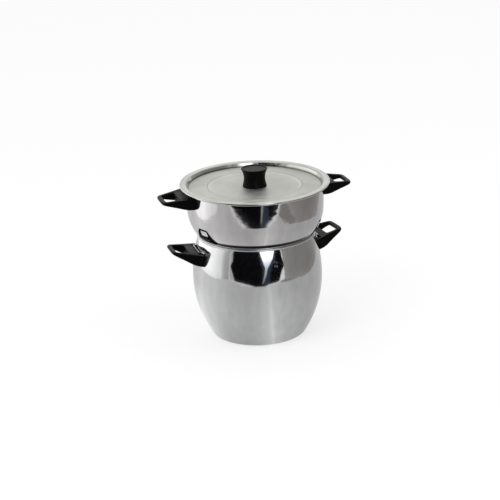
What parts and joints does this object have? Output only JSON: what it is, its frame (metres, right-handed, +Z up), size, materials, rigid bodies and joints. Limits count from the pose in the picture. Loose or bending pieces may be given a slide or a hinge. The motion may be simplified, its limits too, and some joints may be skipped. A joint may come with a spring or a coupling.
{
  "type": "couscoussier",
  "caption": "Couscoussier: a barrel-shaped pot, a steamer with a punched base seated in its mouth, and a flat recessed lid, with loop side handles and a spool knob.",
  "frame": {"origin": "centre of the pot's base, on the surface it stands on", "axes": "+Z up along the common axis of pot, steamer and lid; +X towards the steamer's right handle"},
  "size_m": [0.3944, 0.302, 0.3454],
  "materials": {
    "stainless": "polished stainless sheet",
    "lid_stainless": "satin stainless sheet",
    "zinc_plated": "zinc plated",
    "brass": "turned",
    "phenolic": "moulded black phenolic, satin"
  },
  "bodies": {
    "pot": {"pot_body": "stainless", "pot_handle_left": "phenolic", "pot_handle_right": "phenolic", "pot_bracket_left": "zinc_plated", "pot_bracket_right": "zinc_plated", "pot_handle_washer_left": "zinc_plated", "pot_handle_washer_right": "zinc_plated", "pot_handle_screw_left": "zinc_plated", "pot_handle_screw_right": "zinc_plated"},
    "steamer": {"steamer_body": "stainless", "steamer_handle_left": "phenolic", "steamer_handle_right": "phenolic", "steamer_bracket_left": "zinc_plated", "steamer_bracket_right": "zinc_plated", "steamer_handle_washer_left": "zinc_plated", "steamer_handle_washer_right": "zinc_plated", "steamer_handle_screw_left": "zinc_plated", "steamer_handle_screw_right": "zinc_plated"},
    "lid": {"lid_pan": "lid_stainless", "lid_knob": "phenolic", "knob_insert": "brass", "knob_washer": "zinc_plated", "knob_screw": "zinc_plated"}
  },
  "joints": [
    {"name": "steamer_lift", "type": "slide", "parent": "pot", "child": "steamer", "axis": [0, 0, 1], "range_m": [0, 0.15]},
    {"name": "lid_lift", "type": "slide", "parent": "steamer", "child": "lid", "axis": [0, 0, 1], "range_m": [0, 0.1]}
  ]
}
